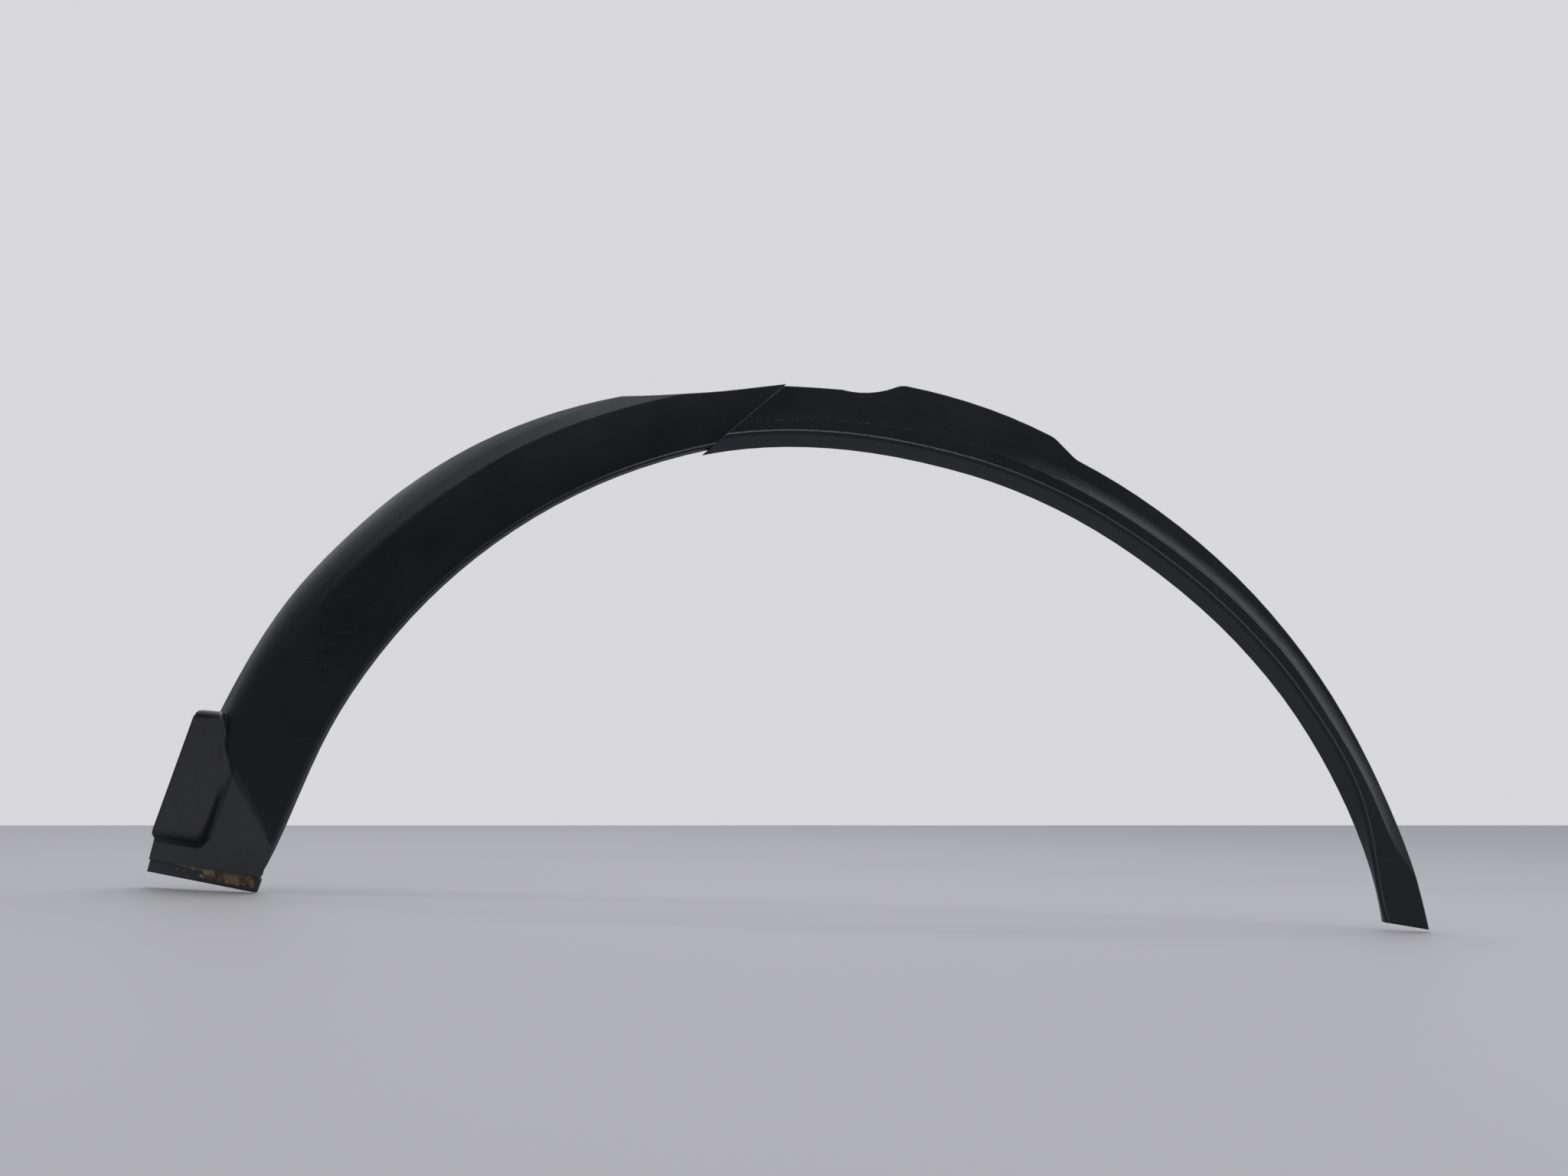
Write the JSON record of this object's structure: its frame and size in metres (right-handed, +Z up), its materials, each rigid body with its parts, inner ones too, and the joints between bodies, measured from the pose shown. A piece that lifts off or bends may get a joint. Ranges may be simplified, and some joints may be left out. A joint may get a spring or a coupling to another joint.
{
  "type": "wheel arch trim molding",
  "caption": "One-piece grained plastic trim that arches over a wheel opening, with a beaded rim, a return flange, a rounded shoulder, a padded foot and clip seats behind.",
  "frame": {"origin": "centre of the clip hole in the crown's seat, on the seat's rear face", "axes": "+X to the right as seen from outside, along the span; +Y into the vehicle; +Z up, from the feet to the crown"},
  "size_m": [0.887, 0.0378, 0.3722],
  "materials": {
    "black_plastic": "fine moulded grain, matte"
  },
  "bodies": {
    "root": {"arch_molding": "black_plastic"}
  },
  "joints": []
}
